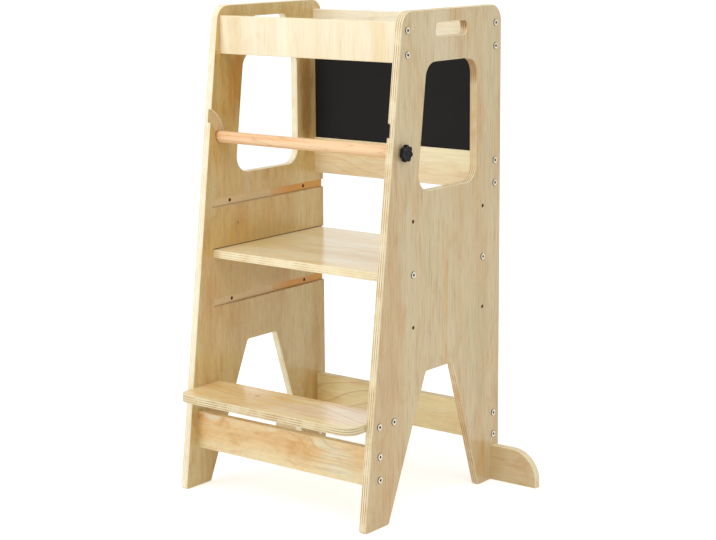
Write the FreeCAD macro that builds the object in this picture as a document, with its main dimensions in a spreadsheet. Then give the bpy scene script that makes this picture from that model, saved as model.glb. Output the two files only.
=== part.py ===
import FreeCAD, Part
import math
import os

import Sketcher

# Learning tower for a toddler: two tapered plywood side panels joined by cross boards, with a
# platform on one of three levels, a front step, a blackboard, a lift-out safety rail and two
# anti-tip feet.  Millimetres, +Z up, the front faces -Y, origin on the floor at the middle.

SIZES = {
    # side panels
    "panel_height": 900.0,
    "panel_thick": 15.0,
    "inner_width": 408.0,
    "floor_depth": 420.0,
    "top_depth": 305.0,
    "corner_radius": 30.0,
    "leg_radius": 6.0,
    "panel_chamfer": 1.4,
    # arch between the legs
    "arch_height": 256.0,
    "arch_width": 84.0,
    "arch_back": 153.0,
    "arch_radius": 8.0,
    "front_leg": 70.0,
    "rear_leg": 68.0,
    # window and hand slot
    "window_drop": 91.5,
    "window_height": 225.0,
    "window_back": 80.0,
    "window_wall": 83.0,
    "handle_drop": 24.0,
    "handle_height": 24.5,
    "handle_width": 94.0,
    "handle_back": 112.0,
    "handle_radius": 9.0,
    # cross boards and back rails
    "board_thick": 15.0,
    "board_height": 70.0,
    "board_inset": 12.0,
    "board_chamfer": 1.0,
    "rail_drop": 19.0,
    "front_setback": 8.0,
    "lower_rail_drop": 272.0,
    "cross_base": 75.0,
    "cross_setback": 18.0,
    # blackboard
    "black_thick": 6.0,
    "black_groove": 5.5,
    "black_gap": 0.3,
    # platform and its three levels
    "platform_thick": 15.0,
    "platform_depth": 319.0,
    "level_base": 343.5,
    "level_pitch": 95.0,
    "level_used": 1.0,
    "groove_depth": 5.5,
    "groove_gap": 0.3,
    "platform_front_bolt": 55.0,
    "platform_back_bolt": 46.0,
    # front step
    "step_thick": 15.0,
    "step_top": 192.5,
    "step_depth": 118.0,
    "step_overhang": 45.0,
    "step_corner": 27.0,
    "step_bolt": 12.5,
    # safety rail and its open pockets
    "rail_diameter": 22.0,
    "safety_drop": 242.0,
    "rail_setback": 30.0,
    "rail_chamfer": 1.5,
    "rail_end_gap": 0.4,
    "swing_radius": 45.0,
    "pocket_depth": 6.0,
    "pocket_gap": 1.0,
    "seat_gap": 0.3,
    # clamp that holds the rail in its pocket
    "stud_diameter": 6.0,
    "stud_gap": 0.05,
    "tip_gap": 0.3,
    "insert_diameter": 10.0,
    "insert_gap": 0.05,
    "knob_gap": 1.5,
    "knob_hub": 2.0,
    "knob_hub_diameter": 15.0,
    "knob_diameter": 31.0,
    "knob_thick": 7.5,
    "knob_lobes": 7.0,
    "knob_scallop": 8.0,
    "knob_bite": 2.6,
    "knob_chamfer": 1.2,
    "knob_roof": 2.0,
    # anti-tip feet
    "foot_length": 100.0,
    "foot_height": 68.0,
    "foot_thick": 15.0,
    "foot_radius": 55.0,
    "foot_inset": 10.0,
    # fasteners
    "bolt_diameter": 6.0,
    "bolt_hole": 6.6,
    "bolt_reach": 35.0,
    "bolt_spread": 42.0,
    "bolt_head": 12.0,
    "bolt_head_thick": 1.6,
    "socket_width": 4.0,
    "socket_depth": 2.6,
    "bore_end_gap": 1.0,
}

NEAR = 0.01            # how close two lengths are to count as equal when edges are chosen
LEAST_CUT = 1.0        # the volume that every pocket takes away at least
FULL_TURN = 360

doc = FreeCAD.newDocument("learning_tower")
sheet = doc.addObject("Spreadsheet::Sheet", "Sizes")
for row, (alias, number) in enumerate(SIZES.items(), start=1):
    sheet.set("A%d" % row, alias)
    sheet.set("B%d" % row, str(number))
    sheet.setAlias("B%d" % row, alias)
doc.recompute()

subparts = []


def size(alias):
    """The expression that reads one cell of the sheet."""
    return "Sizes." + alias


def number(expression):
    """The value of an expression over the sheet."""
    result = sheet.evalExpression(expression.replace("Sizes.", ""))
    return float(getattr(result, "Value", result))


def bind(thing, **expressions):
    for name, expression in expressions.items():
        thing.setExpression(name, str(expression))
    return thing


def place(thing, x="0", y="0", z="0"):
    """Moves an object by three expressions."""
    thing.setExpression("Placement.Base.x", str(x))
    thing.setExpression("Placement.Base.y", str(y))
    thing.setExpression("Placement.Base.z", str(z))
    return thing


def turn(thing, axis, angle):
    thing.Placement.Rotation = FreeCAD.Rotation(FreeCAD.Vector(*axis), angle)
    return thing


def finish(thing, label):
    """Keeps an object as one sub-part under its own name."""
    thing.Label = label
    subparts.append(thing)
    return thing


# ---------------------------------------------------------------- shared expressions
def front_edge(level):
    """Depth of the panels' sloping front edge behind which a level lies, from the back edge."""
    return "(Sizes.floor_depth - (Sizes.floor_depth - Sizes.top_depth) * (%s) / Sizes.panel_height)" % level


rail_top = "(Sizes.panel_height - Sizes.rail_drop)"
rail_base = "(Sizes.panel_height - Sizes.rail_drop - Sizes.board_height)"
rail_mid = "(%s + Sizes.board_height / 2)" % rail_base
lower_rail_top = "(Sizes.panel_height - Sizes.lower_rail_drop)"
lower_rail_mid = "(%s - Sizes.board_height / 2)" % lower_rail_top
cross_mid = "(Sizes.cross_base + Sizes.board_height / 2)"
rear_board_depth = "(Sizes.board_inset + Sizes.board_thick / 2)"
top_front_depth = "(%s - Sizes.front_setback - Sizes.board_thick / 2)" % front_edge(rail_top)
cross_front_depth = "(%s - Sizes.cross_setback - Sizes.board_thick / 2)" % front_edge(
    "Sizes.cross_base + Sizes.board_height")
step_front = "(%s + Sizes.step_overhang)" % front_edge("Sizes.step_top")
step_back = "(%s - Sizes.step_depth)" % step_front
step_mid = "(Sizes.step_top - Sizes.step_thick / 2)"
back_y = "(%s / 2)" % step_front
platform_front = "(Sizes.board_inset + Sizes.platform_depth)"
rail_level = "(Sizes.panel_height - Sizes.safety_drop)"
seat_depth = "(%s - Sizes.rail_setback)" % front_edge(rail_level)
swing_depth = "(%s + Sizes.swing_radius)" % seat_depth
slot_half = "(Sizes.rail_diameter / 2 + Sizes.pocket_gap)"
rest_level = "(%s - Sizes.pocket_gap + Sizes.seat_gap)" % rail_level
half_width = "(Sizes.inner_width / 2)"
foot_depth = "(Sizes.foot_inset + Sizes.foot_thick / 2)"
insert_bore = "(Sizes.insert_diameter + 2 * Sizes.insert_gap)"
LEVELS = 3


def level(index):
    return "(Sizes.level_base + %d * Sizes.level_pitch)" % index


used_level = "(Sizes.level_base + Sizes.level_used * Sizes.level_pitch)"

# Bolts along X through a panel, as (depth from the back edge, height) of each pair.
half_spread = "Sizes.bolt_spread / 2"
platform_bolt_depths = ("Sizes.board_inset + Sizes.platform_back_bolt",
                        "%s - Sizes.platform_front_bolt" % platform_front)
BOLTED = {
    "top_front": [(top_front_depth, "%s - %s" % (rail_mid, half_spread)),
                  (top_front_depth, "%s + %s" % (rail_mid, half_spread))],
    "top_back": [(rear_board_depth, "%s - %s" % (rail_mid, half_spread)),
                 (rear_board_depth, "%s + %s" % (rail_mid, half_spread))],
    "lower_back": [(rear_board_depth, "%s - %s" % (lower_rail_mid, half_spread)),
                   (rear_board_depth, "%s + %s" % (lower_rail_mid, half_spread))],
    "rear_cross": [(rear_board_depth, "%s - %s" % (cross_mid, half_spread)),
                   (rear_board_depth, "%s + %s" % (cross_mid, half_spread))],
    "front_cross": [(cross_front_depth, "%s - %s" % (cross_mid, half_spread)),
                    (cross_front_depth, "%s + %s" % (cross_mid, half_spread))],
    "step": [("%s + Sizes.step_bolt" % step_back, step_mid),
             ("%s + Sizes.step_bolt + Sizes.bolt_spread" % step_back, step_mid)],
    "platform": [(depth, used_level) for depth in platform_bolt_depths],
}
PLATFORM_HOLES = [(depth, level(index)) for index in range(LEVELS) for depth in platform_bolt_depths]


# ---------------------------------------------------------------- sketch helpers
def plane(body, role):
    """One of a body's own origin planes."""
    for feature in body.Origin.OriginFeatures:
        if feature.Role == role:
            return feature
    raise ValueError(role)


def sketch_on(body, name, role="YZ_Plane"):
    sketch = body.newObject("Sketcher::SketchObject", name)
    sketch.AttachmentSupport = [(plane(body, role), "")]
    sketch.MapMode = "FlatFace"
    return sketch


def pin(sketch, element, point, depth, height):
    """Holds a point of a sketch at a depth from the back edge and a height, both expressions."""
    for kind, expression, ends in (
            ("DistanceX", depth, (element, point, -1, 1)),
            ("DistanceY", height, (-1, 1, element, point))):
        wanted = number(expression)
        if expression == "0":
            sketch.addConstraint(Sketcher.Constraint("PointOnObject", element, point,
                                                     -2 if kind == "DistanceX" else -1))
        else:
            index = sketch.addConstraint(Sketcher.Constraint(kind, *ends, wanted))
            sketch.setExpression("Constraints[%d]" % index, expression)


def radius(sketch, element, expression):
    index = sketch.addConstraint(Sketcher.Constraint("Radius", element, number(expression)))
    sketch.setExpression("Constraints[%d]" % index, expression)


def at(depth, height):
    return FreeCAD.Vector(-number(depth), number(height), 0)


def polygon(sketch, corners):
    """A closed outline through (depth, height) corners, every corner held by expressions."""
    first = sketch.GeometryCount
    points = [at(*corner) for corner in corners]
    for start, end in zip(points, points[1:] + points[:1]):
        sketch.addGeometry(Part.LineSegment(start, end), False)
    count = len(corners)
    for index in range(count):
        sketch.addConstraint(Sketcher.Constraint("Coincident", first + index, 2,
                                                 first + (index + 1) % count, 1))
    for index, (depth, height) in enumerate(corners):
        pin(sketch, first + index, 1, depth, height)


def circles(sketch, centres, diameter):
    for depth, height in centres:
        element = sketch.addGeometry(Part.Circle(at(depth, height), FreeCAD.Vector(0, 0, 1),
                                                 number(diameter) / 2), False)
        pin(sketch, element, 3, depth, height)
        radius(sketch, element, "(%s) / 2" % diameter)


def cut(body, sketch, name, depth=None, reverse=False):
    """A pocket that has to take volume away."""
    before = body.Shape.Volume
    pocket = body.newObject("PartDesign::Pocket", name)
    pocket.Profile = sketch
    pocket.Reversed = reverse
    if depth is None:
        pocket.Type = "ThroughAll"
    else:
        pocket.Type = "Length"
        pocket.setExpression("Length", depth)
    doc.recompute()
    if not body.Shape.Volume < before - LEAST_CUT:
        raise RuntimeError("%s cuts nothing" % name)
    return pocket


def chosen_edges(base, chooser):
    return ["Edge%d" % index for index, edge in enumerate(base.Shape.Edges, start=1) if chooser(edge)]


def round_edges(body, name, expression, chooser):
    """A fillet on the edges that the chooser accepts, sized by an expression."""
    base = body.Tip
    fillet = body.newObject("PartDesign::Fillet", name)
    fillet.Base = (base, chosen_edges(base, chooser))
    fillet.setExpression("Radius", expression)
    doc.recompute()
    return fillet


def ease_edges(body, name, expression, chooser):
    """A narrow chamfer on the edges that the chooser accepts."""
    base = body.Tip
    chamfer = body.newObject("PartDesign::Chamfer", name)
    chamfer.Base = (base, chosen_edges(base, chooser))
    chamfer.setExpression("Size", expression)
    doc.recompute()
    return chamfer


def crosswise_at(corners):
    """Chooses the edges that run along X through (depth, height) corners of a panel."""
    spots = [(-number(depth), number(height)) for depth, height in corners]

    def chooser(edge):
        first, last = edge.Vertexes[0].Point, edge.Vertexes[-1].Point
        if abs(first.y - last.y) > NEAR or abs(first.z - last.z) > NEAR:
            return False
        return any(math.hypot(first.y - y, first.z - z) < NEAR for y, z in spots)
    return chooser


def on_faces(thick):
    """Chooses the edges that lie in either broad face of a panel."""
    def chooser(edge):
        box = edge.BoundBox
        return box.XLength < NEAR and (abs(box.XMin) < NEAR or abs(abs(box.XMin) - thick) < NEAR)
    return chooser


# ---------------------------------------------------------------- side panels
def side_panel(label, side):
    """A tapered side panel.  side is +1 for the right one and -1 for the left one; the broad
    face at local x = 0 looks into the tower and carries the grooves and the rail pocket."""
    body = doc.addObject("PartDesign::Body", label)
    right = side > 0

    outline = [("0", "0"), ("0", size("panel_height")), (size("top_depth"), size("panel_height")),
               (size("floor_depth"), "0"), ("Sizes.floor_depth - Sizes.front_leg", "0"),
               ("Sizes.arch_back + Sizes.arch_width", size("arch_height")),
               (size("arch_back"), size("arch_height")), (size("rear_leg"), "0")]
    profile = sketch_on(body, label + "_outline")
    polygon(profile, outline)
    pad = body.newObject("PartDesign::Pad", label + "_board")
    pad.Profile = profile
    pad.setExpression("Length", size("panel_thick"))
    pad.Reversed = not right
    doc.recompute()

    window_top = "(Sizes.panel_height - Sizes.window_drop)"
    window_base = "(%s - Sizes.window_height)" % window_top
    window = [(size("window_back"), window_base), (size("window_back"), window_top),
              ("%s - Sizes.window_wall" % front_edge(window_top), window_top),
              ("%s - Sizes.window_wall" % front_edge(window_base), window_base)]
    profile = sketch_on(body, label + "_window_outline")
    polygon(profile, window)
    cut(body, profile, label + "_window", reverse=right)

    slot_top = "(Sizes.panel_height - Sizes.handle_drop)"
    slot_base = "(%s - Sizes.handle_height)" % slot_top
    slot_front = "(Sizes.handle_back + Sizes.handle_width)"
    slot = [(size("handle_back"), slot_base), (size("handle_back"), slot_top),
            (slot_front, slot_top), (slot_front, slot_base)]
    profile = sketch_on(body, label + "_hand_slot_outline")
    polygon(profile, slot)
    cut(body, profile, label + "_hand_slot", reverse=right)

    round_edges(body, label + "_corners", size("corner_radius"),
                crosswise_at([outline[1], outline[2]] + window))
    round_edges(body, label + "_slot_ends", size("handle_radius"), crosswise_at(slot))
    round_edges(body, label + "_arch_corners", size("arch_radius"),
                crosswise_at([outline[5], outline[6]]))
    round_edges(body, label + "_leg_corners", size("leg_radius"),
                crosswise_at([outline[0], outline[3], outline[4], outline[7]]))
    ease_edges(body, label + "_eased_edges", size("panel_chamfer"), on_faces(number(size("panel_thick"))))

    # Grooves for the platform, open at the back edge so that it slides in.
    profile = sketch_on(body, label + "_groove_outlines")
    half_groove = "(Sizes.platform_thick / 2 + Sizes.groove_gap)"
    for index in range(LEVELS):
        low = "(%s - %s)" % (level(index), half_groove)
        high = "(%s + %s)" % (level(index), half_groove)
        end = "(%s + Sizes.groove_gap)" % platform_front
        polygon(profile, [("0", low), ("0", high), (end, high), (end, low)])
    cut(body, profile, label + "_grooves", size("groove_depth"), reverse=right)

    # Rail pocket: an arc about the swing centre, open at the front edge, that drops into a seat.
    profile = sketch_on(body, label + "_rail_pocket_outline")
    centre = at(swing_depth, rail_level)
    wide = number("Sizes.swing_radius + %s" % slot_half)
    narrow = number("Sizes.swing_radius - %s" % slot_half)
    up = FreeCAD.Vector(0, 0, 1)
    outer = profile.addGeometry(Part.ArcOfCircle(Part.Circle(centre, up, wide), 0, math.pi / 2), False)
    mouth = profile.addGeometry(Part.LineSegment(centre + FreeCAD.Vector(0, wide, 0),
                                                 centre + FreeCAD.Vector(0, narrow, 0)), False)
    inner = profile.addGeometry(Part.ArcOfCircle(Part.Circle(centre, up, narrow), 0, math.pi / 2), False)
    seat_at = at(seat_depth, rail_level)
    seat = profile.addGeometry(Part.ArcOfCircle(Part.Circle(seat_at, up, number(slot_half)),
                                                math.pi, 2 * math.pi), False)
    for joined in ((outer, 2, mouth, 1), (mouth, 2, inner, 2), (inner, 1, seat, 1), (seat, 2, outer, 1)):
        profile.addConstraint(Sketcher.Constraint("Coincident", *joined))
    profile.addConstraint(Sketcher.Constraint("Coincident", outer, 3, inner, 3))
    pin(profile, outer, 3, swing_depth, rail_level)
    radius(profile, outer, "Sizes.swing_radius + %s" % slot_half)
    radius(profile, inner, "Sizes.swing_radius - %s" % slot_half)
    profile.addConstraint(Sketcher.Constraint("Vertical", outer, 3, outer, 2))
    profile.addConstraint(Sketcher.Constraint("Vertical", mouth))
    profile.addConstraint(Sketcher.Constraint("Horizontal", outer, 3, outer, 1))
    profile.addConstraint(Sketcher.Constraint("Horizontal", inner, 3, inner, 1))
    profile.addConstraint(Sketcher.Constraint("Horizontal", seat, 3, seat, 2))
    cut(body, profile, label + "_rail_pocket", size("pocket_depth"), reverse=right)

    # Bolt holes of the boards and of all three platform levels.
    profile = sketch_on(body, label + "_bolt_hole_centres")
    centres = [spot for name, spots in BOLTED.items() if name != "platform" for spot in spots]
    circles(profile, centres + PLATFORM_HOLES, size("bolt_hole"))
    cut(body, profile, label + "_bolt_holes", reverse=right)

    if right:
        profile = sketch_on(body, label + "_insert_hole_centre")
        circles(profile, [(seat_depth, rest_level)], insert_bore)
        cut(body, profile, label + "_insert_hole", reverse=right)

    place(body, "%d * %s" % (side, half_width), back_y)
    return finish(body, label)


side_panel("right_side_panel", 1)
side_panel("left_side_panel", -1)


# ---------------------------------------------------------------- boards
def cylinder(name, diameter, height, axis, x="0", y="0", z="0"):
    """A cylinder that starts at a point and runs along +axis."""
    rod = doc.addObject("Part::Cylinder", name)
    bind(rod, Radius="(%s) / 2" % diameter, Height=height)
    rotations = {"x": ((0, 1, 0), 90), "y": ((1, 0, 0), -90), "z": ((0, 0, 1), 0)}
    turn(rod, *rotations[axis])
    return place(rod, x, y, z)


def box(name, length, depth, height, x, y, z):
    block = doc.addObject("Part::Box", name)
    bind(block, Length=length, Width=depth, Height=height)
    return place(block, x, y, z)


def worked(kind, base, name, expression, chooser):
    """A Part::Fillet or Part::Chamfer on the edges that the chooser accepts."""
    doc.recompute()
    amount = number(expression)
    result = doc.addObject(kind, name)
    result.Base = base
    result.Edges = [(index, amount, amount) for index, edge in enumerate(base.Shape.Edges, start=1)
                    if chooser(edge)]
    return result


def rounded(base, name, expression, chooser):
    return worked("Part::Fillet", base, name, expression, chooser)


def chamfered(base, name, expression, chooser):
    return worked("Part::Chamfer", base, name, expression, chooser)


def lengthwise(edge):
    """The edges of a board that run along X."""
    return edge.BoundBox.YLength < NEAR and edge.BoundBox.ZLength < NEAR


def compound(name, pieces):
    group = doc.addObject("Part::Compound", name)
    group.Links = pieces
    return group


def subtract(name, base, tools):
    result = doc.addObject("Part::Cut", name)
    result.Base = base
    result.Tool = compound(name + "_tools", tools)
    return result


def end_bores(label, half_length, spots):
    """Blind bolt bores in both ends of a board, a little deeper than the bolts reach."""
    tools = []
    deep = "(%s - %s + Sizes.bolt_reach + Sizes.bore_end_gap)" % (half_length, half_width)
    for index, (y, z) in enumerate(spots):
        for side, start in (("right", "%s - %s" % (half_length, deep)), ("left", "-" + half_length)):
            name = "%s_%s_bore_%d" % (label, side, index)
            tools.append(cylinder(name, size("bolt_hole"), deep, "x", start, y, z))
    return tools


def cross_board(label, depth, middle, groove=0):
    """An upright board between the panels; groove is +1 or -1 for one in its upper or lower edge."""
    block = box(label + "_blank", size("inner_width"), size("board_thick"), size("board_height"),
                "-" + half_width, "-Sizes.board_thick / 2", "-Sizes.board_height / 2")
    eased = chamfered(block, label + "_eased", size("board_chamfer"), lengthwise)
    spots = [("0", "-" + half_spread), ("0", half_spread)]
    tools = end_bores(label, half_width, spots)
    if groove:
        wide = "(Sizes.black_thick + 2 * Sizes.black_gap)"
        low = "(Sizes.board_height / 2 - Sizes.black_groove)" if groove > 0 else "(-Sizes.board_height / 2)"
        tools.append(box(label + "_groove", size("inner_width"), wide, size("black_groove"),
                         "-" + half_width, "-%s / 2" % wide, low))
    board = subtract(label, eased, tools)
    place(board, "0", "%s - %s" % (back_y, depth), middle)
    return finish(board, label)


cross_board("top_front_rail", top_front_depth, rail_mid)
cross_board("top_back_rail", rear_board_depth, rail_mid, groove=-1)
cross_board("lower_back_rail", rear_board_depth, lower_rail_mid, groove=1)
cross_board("front_cross_board", cross_front_depth, cross_mid)
cross_board("rear_cross_board", rear_board_depth, cross_mid)

# The blackboard stands in the grooves of the two back rails.
black_low = "(%s - Sizes.black_groove + Sizes.black_gap)" % lower_rail_top
black_high = "(%s + Sizes.black_groove - Sizes.black_gap)" % rail_base
black_wide = "(Sizes.inner_width - 2 * Sizes.black_gap)"
blackboard = box("blackboard_panel", black_wide, size("black_thick"),
                 "%s - %s" % (black_high, black_low), "-%s / 2" % black_wide,
                 "%s - %s - Sizes.black_thick / 2" % (back_y, rear_board_depth), black_low)
finish(blackboard, "blackboard_panel")

# Platform, let into the grooves of one level.
platform_half = "(%s + Sizes.groove_depth - Sizes.groove_gap)" % half_width
blank = box("platform_blank", "2 * %s" % platform_half, size("platform_depth"), size("platform_thick"),
            "-" + platform_half, "-Sizes.platform_depth / 2", "-Sizes.platform_thick / 2")
eased = chamfered(blank, "platform_eased", size("board_chamfer"), lengthwise)
spots = [("Sizes.platform_depth / 2 - Sizes.platform_back_bolt", "0"),
         ("Sizes.platform_front_bolt - Sizes.platform_depth / 2", "0")]
platform = subtract("platform", eased, end_bores("platform", platform_half, spots))
place(platform, "0", "%s - Sizes.board_inset - Sizes.platform_depth / 2" % back_y, used_level)
finish(platform, "platform")

# Front step with rounded front corners; it stands out past the panels' front edges.
blank = box("front_step_blank", size("inner_width"), size("step_depth"), size("step_thick"),
            "-" + half_width, "-Sizes.step_depth / 2", "-Sizes.step_thick / 2")


def front_corner(edge):
    """The upright edges at the front of a blank."""
    bounds = edge.BoundBox
    return bounds.XLength < NEAR and bounds.YLength < NEAR and bounds.YMin < 0


def along_top_or_bottom(edge):
    """The front edges and corner curves of the upper and lower faces."""
    bounds = edge.BoundBox
    return bounds.ZLength < NEAR and bounds.YMin < 0 and bounds.XLength > NEAR


cornered = rounded(blank, "front_step_cornered", size("step_corner"), front_corner)
eased = chamfered(cornered, "front_step_eased", size("board_chamfer"), along_top_or_bottom)
spots = [("Sizes.step_depth / 2 - Sizes.step_bolt", "0"),
         ("Sizes.step_depth / 2 - Sizes.step_bolt - Sizes.bolt_spread", "0")]
step = subtract("front_step", eased, end_bores("front_step", half_width, spots))
place(step, "0", "%s - %s - Sizes.step_depth / 2" % (back_y, step_back), step_mid)
finish(step, "front_step")


# ---------------------------------------------------------------- anti-tip feet
panel_outer = "(%s + Sizes.panel_thick)" % half_width


def anti_tip_foot(label, side):
    """A short board that stands out sideways from a rear leg, with one quarter-round end."""
    start = "0" if side > 0 else "-Sizes.foot_length"
    blank = box(label + "_blank", size("foot_length"), size("foot_thick"), size("foot_height"),
                start, "-Sizes.foot_thick / 2", "0")
    doc.recompute()

    def outer_top(edge):
        bounds = edge.BoundBox
        return (side * bounds.Center.x > number(size("foot_length")) - NEAR
                and bounds.ZMin > number(size("foot_height")) - NEAR)

    curved = rounded(blank, label + "_curved", size("foot_radius"), outer_top)

    def broad(edge):
        bounds = edge.BoundBox
        inner = abs(bounds.XMin) < NEAR and abs(bounds.XMax) < NEAR
        return bounds.YLength < NEAR and not inner

    foot = chamfered(curved, label, size("board_chamfer"), broad)
    place(foot, "%d * %s" % (side, panel_outer), "%s - %s" % (back_y, foot_depth))
    return finish(foot, label)


anti_tip_foot("right_anti_tip_foot", 1)
anti_tip_foot("left_anti_tip_foot", -1)

# ---------------------------------------------------------------- safety rail
rail_half = "(%s + Sizes.pocket_depth - Sizes.rail_end_gap)" % half_width
dowel = cylinder("safety_rail_dowel", size("rail_diameter"), "2 * %s" % rail_half, "x", "-" + rail_half)
rail = chamfered(dowel, "safety_rail", size("rail_chamfer"), lambda edge: edge.Closed)
place(rail, "0", "%s - %s" % (back_y, seat_depth), rest_level)
finish(rail, "safety_rail")

# ---------------------------------------------------------------- rail clamp
# A threaded insert fills the wall behind the right pocket; the stud presses on the rail's end.
pocket_floor = "(%s + Sizes.pocket_depth)" % half_width
wall = "(Sizes.panel_thick - Sizes.pocket_depth)"
clamp_y = "%s - %s" % (back_y, seat_depth)
stud_bore = "(Sizes.stud_diameter + 2 * Sizes.stud_gap)"
sleeve = cylinder("clamp_insert_sleeve", size("insert_diameter"), wall, "x")
insert = subtract("clamp_insert", sleeve, [cylinder("clamp_insert_bore", stud_bore, wall, "x")])
place(insert, pocket_floor, clamp_y, rest_level)
finish(insert, "clamp_insert")

tip_x = "(%s + Sizes.tip_gap)" % rail_half
knob_x = "(%s + Sizes.knob_gap)" % panel_outer
stud_end = "(%s + Sizes.knob_hub + Sizes.knob_thick - Sizes.knob_roof)" % knob_x
stud = cylinder("clamp_stud", size("stud_diameter"), "%s - %s" % (stud_end, tip_x), "x",
                tip_x, clamp_y, rest_level)
finish(stud, "clamp_stud")

knob = doc.addObject("PartDesign::Body", "clamp_knob")


def disc(body, name, diameter, thick, offset="0"):
    """A round pad on the body's YZ plane."""
    profile = sketch_on(body, name + "_outline")
    profile.setExpression("AttachmentOffset.Base.z", offset)
    element = profile.addGeometry(Part.Circle(FreeCAD.Vector(0, 0, 0), FreeCAD.Vector(0, 0, 1),
                                              number(diameter) / 2), False)
    profile.addConstraint(Sketcher.Constraint("Coincident", element, 3, -1, 1))
    radius(profile, element, "(%s) / 2" % diameter)
    pad = body.newObject("PartDesign::Pad", name)
    pad.Profile = profile
    pad.setExpression("Length", thick)
    doc.recompute()
    return pad


disc(knob, "clamp_knob_hub", size("knob_hub_diameter"), "Sizes.knob_hub + Sizes.knob_chamfer")
disc(knob, "clamp_knob_head", size("knob_diameter"), size("knob_thick"), size("knob_hub"))
profile = sketch_on(knob, "clamp_knob_scallop_outline")
profile.setExpression("AttachmentOffset.Base.z", size("knob_hub"))
scallop_at = "(Sizes.knob_diameter / 2 - Sizes.knob_bite + Sizes.knob_scallop / 2)"
scallop = profile.addGeometry(Part.Circle(at(scallop_at, "0"), FreeCAD.Vector(0, 0, 1),
                                          number(size("knob_scallop")) / 2), False)
pin(profile, scallop, 3, scallop_at, "0")
radius(profile, scallop, "Sizes.knob_scallop / 2")
scallops = cut(knob, profile, "clamp_knob_scallop", reverse=True)
pattern = knob.newObject("PartDesign::PolarPattern", "clamp_knob_scallops")
pattern.Originals = [scallops]
pattern.Axis = (next(axis for axis in knob.Origin.OriginFeatures if axis.Role == "X_Axis"), [""])
pattern.Angle = FULL_TURN
pattern.Occurrences = int(number(size("knob_lobes")))
pattern.setExpression("Occurrences", size("knob_lobes"))
knob.Tip = pattern
doc.recompute()


def front_rim(edge):
    """The edges of the knob's outer face."""
    far = number("Sizes.knob_hub + Sizes.knob_thick")
    return edge.BoundBox.XMin > far - NEAR


ease_edges(knob, "clamp_knob_rim", size("knob_chamfer"), front_rim)
profile = sketch_on(knob, "clamp_knob_bore_outline")
bore = profile.addGeometry(Part.Circle(FreeCAD.Vector(0, 0, 0), FreeCAD.Vector(0, 0, 1),
                                       number(stud_bore) / 2), False)
profile.addConstraint(Sketcher.Constraint("Coincident", bore, 3, -1, 1))
radius(profile, bore, "%s / 2" % stud_bore)
bore_depth = "Sizes.knob_hub + Sizes.knob_thick - Sizes.knob_roof + Sizes.stud_gap"
cut(knob, profile, "clamp_knob_bore", bore_depth, reverse=True)
place(knob, knob_x, clamp_y, rest_level)
finish(knob, "clamp_knob")


# ---------------------------------------------------------------- fasteners
def hex_bolt(name):
    """A furniture bolt along +X: the shank ends at x = 0 on the panel's face, the head beyond it."""
    shank_length = "(Sizes.panel_thick + Sizes.bolt_reach)"
    into_head = "%s + Sizes.bolt_head_thick / 2" % shank_length
    shank = cylinder(name + "_shank", size("bolt_diameter"), into_head, "x", "-" + shank_length)
    head = cylinder(name + "_head", size("bolt_head"), size("bolt_head_thick"), "x")
    solid = doc.addObject("Part::Fuse", name + "_solid")
    solid.Base = shank
    solid.Tool = head
    socket = doc.addObject("Part::Prism", name + "_socket")
    socket.Polygon = 6
    bind(socket, Circumradius="Sizes.socket_width / sqrt(3)", Height=size("socket_depth"))
    turn(socket, (0, 1, 0), 90)
    place(socket, "Sizes.bolt_head_thick - Sizes.socket_depth")
    bolt = doc.addObject("Part::Cut", name)
    bolt.Base = solid
    bolt.Tool = socket
    return bolt


def copies(label, pattern, spots):
    """Copies of one fastener in one node.  Each spot is a side, +1 right or -1 left, with the
    distance from the middle, the depth from the back edge and the height, all expressions."""
    links = []
    for index, (side, reach, depth, height) in enumerate(spots):
        link = doc.addObject("App::Link", "%s_%d" % (label, index))
        link.LinkedObject = pattern
        half_turn = FreeCAD.Rotation(FreeCAD.Vector(0, 0, 1), 0 if side > 0 else 180)
        link.LinkPlacement = FreeCAD.Placement(FreeCAD.Vector(), half_turn)
        link.setExpression("LinkPlacement.Base.x", "%d * %s" % (side, reach))
        link.setExpression("LinkPlacement.Base.y", "%s - (%s)" % (back_y, depth))
        link.setExpression("LinkPlacement.Base.z", height)
        links.append(link)
    return finish(compound(label, links), label)


bolt = hex_bolt("bolt_pattern")

for name, spots in BOLTED.items():
    copies(name + "_bolts", bolt, [(side, panel_outer, depth, height)
                                   for depth, height in spots for side in (1, -1)])

# ---------------------------------------------------------------- check and write
doc.recompute()
for thing in doc.Objects:
    bad = [state for state in thing.State if state in ("Invalid", "Error")]
    if bad:
        raise RuntimeError("%s: %s" % (thing.Label, bad))
os.makedirs("parts", exist_ok=True)
for thing in subparts:
    shape = thing.Shape
    if shape.isNull() or not shape.isValid():
        raise RuntimeError("%s has no valid shape" % thing.Label)
    shape.exportStep(os.path.join("parts", thing.Label + ".step"))
    print("%-24s %2d solid(s) %12.1f mm3" % (thing.Label, len(shape.Solids), shape.Volume))
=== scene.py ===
import math

import bmesh
import bpy
from mathutils import Matrix, Vector


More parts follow.
